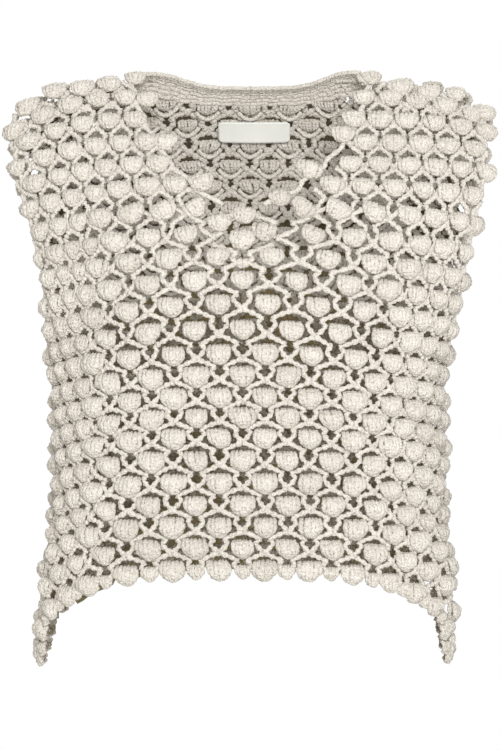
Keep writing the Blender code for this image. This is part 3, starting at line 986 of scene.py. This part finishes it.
def bobbles(name, cloth, places, finish):
    """Bobbles of parallel loops of yarn, gathered at the bottom."""
    yarn = Yarn()
    v = np.linspace(-1, 1, LOOP_RINGS)
    spread = np.interp(v, *LOOP_SPREAD)
    dome = np.interp(v, *LOOP_DOME)
    middle = (LOOPS - 1) / 2
    for side in (-1, 1):
        chosen = places[places[:, 2] == side]
        count = len(chosen)
        size = chosen[:, 3] * (1 + BOBBLE_UNEVENNESS * random.standard_normal(count).clip(-2, 2))
        lean = BOBBLE_LEAN * random.standard_normal(count)
        bobble_tone = 1 + BOBBLE_TONE_SPREAD * random.standard_normal(count).clip(-2, 2)
        # The inside of the back's bobbles is painted in shade
        inner_side_painted_shade = np.repeat(inner_shade(cloth.panel, chosen[:, 1])[:, None], LOOP_RINGS, axis=1)
        spots = Spots(cloth, side, chosen, size)
        wide = spots.repeated(spots.right, LOOP_RINGS)
        out = spots.repeated(spots.out, LOOP_RINGS)
        for loop in range(LOOPS):
            t = (loop - middle) / (middle + LOOP_INSET)
            t = (t + LOOP_SHIFT * random.standard_normal(count))[:, None]
            knobs = random.standard_normal((3, count, LOOP_RINGS)).clip(-2, 2)
            sideways, outwards, thicker = [knob * kind for knob, kind in zip(LOOP_KNOBS, knobs)]
            u = t * spread + lean[:, None] * v + sideways
            d = v * (1 - np.where(v < 0, TOP_ROUNDING, BOTTOM_ROUNDING) * t * t)
            round_off = np.sqrt(np.maximum(1 - SIDE_ROUNDING * t * t, LEAST_ROUNDING))
            height = BOBBLE_HEIGHT * dome * round_off * (1 + outwards) * chosen[:, 3:4]
            radius = (spots.half_width * LOOP_OVERLAP / LOOPS)[:, None]
            radius = radius * np.interp(v, *LOOP_SWELL) * (1 + thicker)
            # Painted shade: the loops are painted darker towards their ends and at the bobble's sides,
            # times each bobble's random tone
            tone_and_painted_shade = bobble_tone[:, None] * (CREASE_PAINTED_SHADE + (1 - CREASE_PAINTED_SHADE) * dome * round_off)
            path = spots.place(u, d, height)
            yarn.add(path, wide, radius, radius * LOOP_THICKNESS, LOOP_SIDES, tone_and_painted_shade, out, inner_side_painted_shade)
        t = np.linspace(-1, 1, GATHER_RINGS)
        radius = GATHER_RADIUS * np.sqrt(1 - GATHER_TAPER * t * t)
        shapes = (GATHER_ACROSS, GATHER_DOWN, GATHER_OUT)
        spots.add_stitch(yarn, shapes, t, radius, LOOP_SIDES, GATHER_PAINTED_SHADE)
    return yarn.piece(name, finish)


def pleats(cloth, places, finish):
    """Behind each bobble, on the inside: gathered pleats over the rim of its pocket."""
    yarn = Yarn()
    v = np.linspace(-1, 1, PLEAT_RINGS)
    # The pleats are painted in shade, darker still at their low ends
    tone_and_painted_shade = PLEAT_PAINTED_SHADE - PLEAT_END_SHADE * (v > PLEAT_END)
    for side in (-1, 1):
        chosen = places[places[:, 2] == side]
        count = len(chosen)
        spots = Spots(cloth, side, chosen, np.ones(count))
        wide = spots.repeated(spots.right, PLEAT_RINGS)
        lean = PLEAT_LEAN * random.standard_normal(count)
        for pleat in range(PLEATS):
            t = (2 * pleat + 1) / PLEATS - 1 + PLEAT_SHIFT * random.standard_normal(count)
            u = PLEAT_REACH * t[:, None] * np.interp(v, *PLEAT_SPREAD) + lean[:, None] * v
            low = curved(PLEAT_LOW_END, t)[:, None]
            d = -PLEAT_REACH + (v + 1) / 2 * (low + PLEAT_REACH)
            height = np.broadcast_to(curved(PLEAT_OUT, v), (count, PLEAT_RINGS))
            uneven = random.standard_normal((count, PLEAT_RINGS)).clip(-2, 2)
            radius = PLEAT_RADIUS * (1 + PLEAT_UNEVENNESS * uneven)
            path = spots.place(u, d, height)
            yarn.add(path, wide, radius * PLEAT_WIDTH, radius, LOOP_SIDES, tone_and_painted_shade)
        t = np.linspace(-1, 1, 2 * PLEAT_RINGS)
        radius = RIM_RADIUS * (1 + RIM_LUMP * np.cos(t * RIM_LUMPS))
        spots.add_stitch(yarn, (RIM_ACROSS, RIM_DOWN, RIM_OUT), t, radius, RIM_SIDES, RIM_PAINTED_SHADE)
    return yarn.piece("back_pocket_pleats", finish)


def add_node(made, kind, **values):
    """A new node of a material, with the given input values."""
    node = made.node_tree.nodes.new(kind)
    for name, value in values.items():
        node.inputs[name].default_value = value
    return node


def add_math(made, operation, *inputs):
    """A maths node. An input is a number or another node's output."""
    node = made.node_tree.nodes.new("ShaderNodeMath")
    node.operation = operation
    for socket, value in zip(node.inputs, inputs):
        if isinstance(value, (int, float)):
            socket.default_value = value
        else:
            made.node_tree.links.new(value, socket)
    return node.outputs["Value"]


def mixed(made, factor, low, high):
    """A colour between two colours."""
    node = made.node_tree.nodes.new("ShaderNodeMix")
    node.data_type = "RGBA"
    made.node_tree.links.new(factor, node.inputs["Factor"])
    node.inputs["A"].default_value = (*low, 1)
    node.inputs["B"].default_value = (*high, 1)
    return node.outputs["Result"]


def new_material(name, roughness, sheen, specular):
    made = bpy.data.materials.new(name)
    made.use_nodes = True
    shader = made.node_tree.nodes["Principled BSDF"]
    shader.inputs["Roughness"].default_value = roughness
    shader.inputs["Sheen Weight"].default_value = sheen
    shader.inputs["Sheen Roughness"].default_value = 0.5
    shader.inputs["Specular IOR Level"].default_value = specular
    return made, shader


def add_texture(made, kind, place, **values):
    """A texture node that is looked up at a place of the piece."""
    node = add_node(made, kind, **values)
    made.node_tree.links.new(place, node.inputs["Vector"])
    return node


def finish_material(made, shader, colour, height, strength, distance):
    """Joins a material's colour and its relief to its shader."""
    links = made.node_tree.links
    links.new(colour, shader.inputs["Base Color"])
    bump = add_node(made, "ShaderNodeBump", Strength=strength, Distance=distance)
    links.new(height, bump.inputs["Height"])
    links.new(bump.outputs["Normal"], shader.inputs["Normal"])
    return made


def yarn_material(name, colour, shade):
    """Matt cotton yarn: beaded stitches, loose fibres, and painted shade in the creases and between the
    beads.
    """
    made, shader = new_material(name, roughness=0.95, sheen=0.25, specular=0.15)
    nodes = made.node_tree.nodes
    place = nodes.new("ShaderNodeTexCoord").outputs["Object"]
    mottle = add_texture(made, "ShaderNodeTexNoise", place, Scale=MOTTLE_SCALE, Detail=3.0)
    patches = add_texture(made, "ShaderNodeTexNoise", place, Scale=PATCH_SCALE, Detail=2.0)
    fibre = add_texture(made, "ShaderNodeTexNoise", place, Scale=FIBRE_SCALE, Detail=2.0)
    beads = add_texture(made, "ShaderNodeTexVoronoi", place, Scale=BEAD_SCALE)
    beads.feature = "SMOOTH_F1"
    beads.inputs["Smoothness"].default_value = BEAD_SMOOTHNESS
    mottled = add_math(made, "MULTIPLY_ADD", mottle.outputs["Fac"], *MOTTLE_TONE)
    patched = add_math(made, "MULTIPLY_ADD", patches.outputs["Fac"], *PATCH_TONE)
    # Painted shade in the grooves: darker towards each bead's border
    bead_groove_shade = add_math(made, "MULTIPLY_ADD", beads.outputs["Distance"], *BEAD_GROOVE_PAINTED_SHADE)
    tone_and_painted_shade = nodes.new("ShaderNodeAttribute")
    tone_and_painted_shade.attribute_name = "tone_and_painted_shade"
    # How light the yarn is painted: random mottle and patches, plus the painted shade of the bead
    # grooves and of the tone attribute
    light = add_math(made, "ADD", mottled, patched)
    light = add_math(made, "ADD", light, bead_groove_shade)
    light = add_math(made, "ADD", light, tone_and_painted_shade.outputs["Fac"])
    along_yarn = nodes.new("ShaderNodeUVMap")
    along_yarn.uv_map = "yarn"
    split = nodes.new("ShaderNodeSeparateXYZ")
    made.node_tree.links.new(along_yarn.outputs["UV"], split.inputs["Vector"])
    plies = add_math(made, "MULTIPLY_ADD", split.outputs["X"], PLIES, split.outputs["Y"])
    plies = add_math(made, "PINGPONG", plies, 0.5)
    height = add_math(made, "MULTIPLY_ADD", beads.outputs["Distance"], BEAD_RELIEF, plies)
    height = add_math(made, "MULTIPLY_ADD", fibre.outputs["Fac"], FIBRE_RELIEF, height)
    return finish_material(made, shader, mixed(made, light, shade, colour), height, *YARN_RELIEF)


def satin_material(name, colour):
    """Pale satin tape with a fine weave."""
    made, shader = new_material(name, roughness=0.42, sheen=0.3, specular=0.45)
    place = made.node_tree.nodes.new("ShaderNodeTexCoord").outputs["Object"]
    weave = add_texture(made, "ShaderNodeTexWave", place, Scale=WEAVE_SCALE, Distortion=0.6, Detail=1.0)
    weave.bands_direction = "X"
    cloudy = add_texture(made, "ShaderNodeTexNoise", place, Scale=CLOUD_SCALE, Detail=3.0)
    light = add_math(made, "MULTIPLY_ADD", weave.outputs["Fac"], WEAVE_TONE, cloudy.outputs["Fac"])
    shade = [SATIN_SHADE * value for value in colour]
    woven = mixed(made, light, shade, colour)
    return finish_material(made, shader, woven, weave.outputs["Fac"], *SATIN_RELIEF)


def add_camera():
    data = bpy.data.cameras.new("camera")
    data.sensor_fit = "VERTICAL"
    data.sensor_height = SENSOR * 1000
    data.lens = SENSOR * 1000 * CAMERA_DISTANCE / FRAME_HEIGHT
    camera = bpy.data.objects.new("camera", data)
    camera.location = (0, -CAMERA_DISTANCE, CAMERA_HEIGHT)
    camera.rotation_euler = (math.pi / 2, 0, 0)
    bpy.context.scene.collection.objects.link(camera)
    bpy.context.scene.camera = camera


def add_area_light(name, place, size, power):
    data = bpy.data.lights.new(name, "AREA")
    data.shape = "DISK"
    data.size = size
    data.energy = power
    light = bpy.data.objects.new(name, data)
    light.location = place
    towards = Vector(LIGHT_TARGET) - Vector(place)
    light.rotation_euler = towards.to_track_quat("-Z", "Y").to_euler()
    bpy.context.scene.collection.objects.link(light)


def add_studio():
    world = bpy.data.worlds.new("studio")
    world.use_nodes = True
    nodes, links = world.node_tree.nodes, world.node_tree.links
    ambient = nodes["Background"]
    ambient.inputs["Color"].default_value = (*AMBIENT, 1)
    ambient.inputs["Strength"].default_value = AMBIENT_STRENGTH
    backdrop = nodes.new("ShaderNodeBackground")
    backdrop.inputs["Color"].default_value = (*WHITE, 1)
    rays = nodes.new("ShaderNodeLightPath")
    seen = nodes.new("ShaderNodeMixShader")
    links.new(rays.outputs["Is Camera Ray"], seen.inputs["Fac"])
    links.new(ambient.outputs["Background"], seen.inputs[1])
    links.new(backdrop.outputs["Background"], seen.inputs[2])
    links.new(seen.outputs["Shader"], nodes["World Output"].inputs["Surface"])
    bpy.context.scene.world = world
    bpy.context.scene.view_settings.view_transform = "Standard"
    mesh = bpy.data.meshes.new("floor")
    turn = np.arange(FLOOR_SIDES) / FLOOR_SIDES * 2 * math.pi
    rim = [(FLOOR_RADIUS * math.cos(a), FLOOR_RADIUS * math.sin(a), FLOOR_HEIGHT) for a in turn]
    mesh.from_pydata(rim, [], [range(FLOOR_SIDES)])
    floor = bpy.data.objects.new("floor", mesh)
    bpy.context.scene.collection.objects.link(floor)
    finish = bpy.data.materials.new("pale_floor")
    finish.use_nodes = True
    shader = finish.node_tree.nodes["Principled BSDF"]
    shader.inputs["Base Color"].default_value = (*FLOOR_COLOUR, 1)
    shader.inputs["Roughness"].default_value = 0.8
    mesh.materials.append(finish)
    add_area_light("key", KEY_PLACE, KEY_SIZE, KEY_POWER)
    add_area_light("back_fill", BACK_PLACE, BACK_SIZE, BACK_POWER)


cotton = yarn_material("cotton_yarn_crochet", COTTON, COTTON_SHADE)
# The web's yarn is painted shade for the gaps
painted_shade_yarn = yarn_material("painted_shade_in_the_gaps", WEB_LIGHT_PAINTED_SHADE, WEB_SHADE)
satin = satin_material("label_satin_tape", SATIN)
for panel in ("front", "back"):
    cloth = Cloth(panel)
    places = bobble_places(panel)
    panel_net = net(panel, cloth, places, cotton)
    if panel == "back":
        near_hem = places[:, 1] > LAST_ROW - WEB_HEM_ROWS
        closed = np.abs(places[:, 0]) < np.where(near_hem, WEB_HEM_COLUMN, WEB_COLUMN)
        web = painted_shade_web_piece(cloth, places[closed], painted_shade_yarn)
        edging = back_neck_rows(cloth, cotton)
        shown = (places[:, 1] > 0) & (places[:, 1] <= PLEAT_LAST_ROW)
        shown &= np.abs(places[:, 0]) < PLEAT_LAST_COLUMN
        pockets = pleats(cloth, places[shown], cotton)
        for piece, node in ((web, "back_panel"), (edging, "back_neck_edge"), (pockets, "back_panel")):
            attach(piece, "root")
            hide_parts(node)
        places = places[(places[:, 1] > 0) | (np.abs(places[:, 0]) > PLAIN_BACK_COLUMN)]
    places = np.concatenate([places, extra_places(panel)])
    high = places[:, 1] <= LAST_UPPER_ROW
    upper = bobbles(f"{panel}_bobbles_upper", cloth, places[high], cotton)
    lower = bobbles(f"{panel}_bobbles_lower", cloth, places[~high], cotton)
    for piece in (panel_net, upper, lower):
        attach(piece, "root")
        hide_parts(f"{panel}_panel")

label = label_piece(cloth, satin)
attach(label, "root")
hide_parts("label")

add_camera()
add_studio()
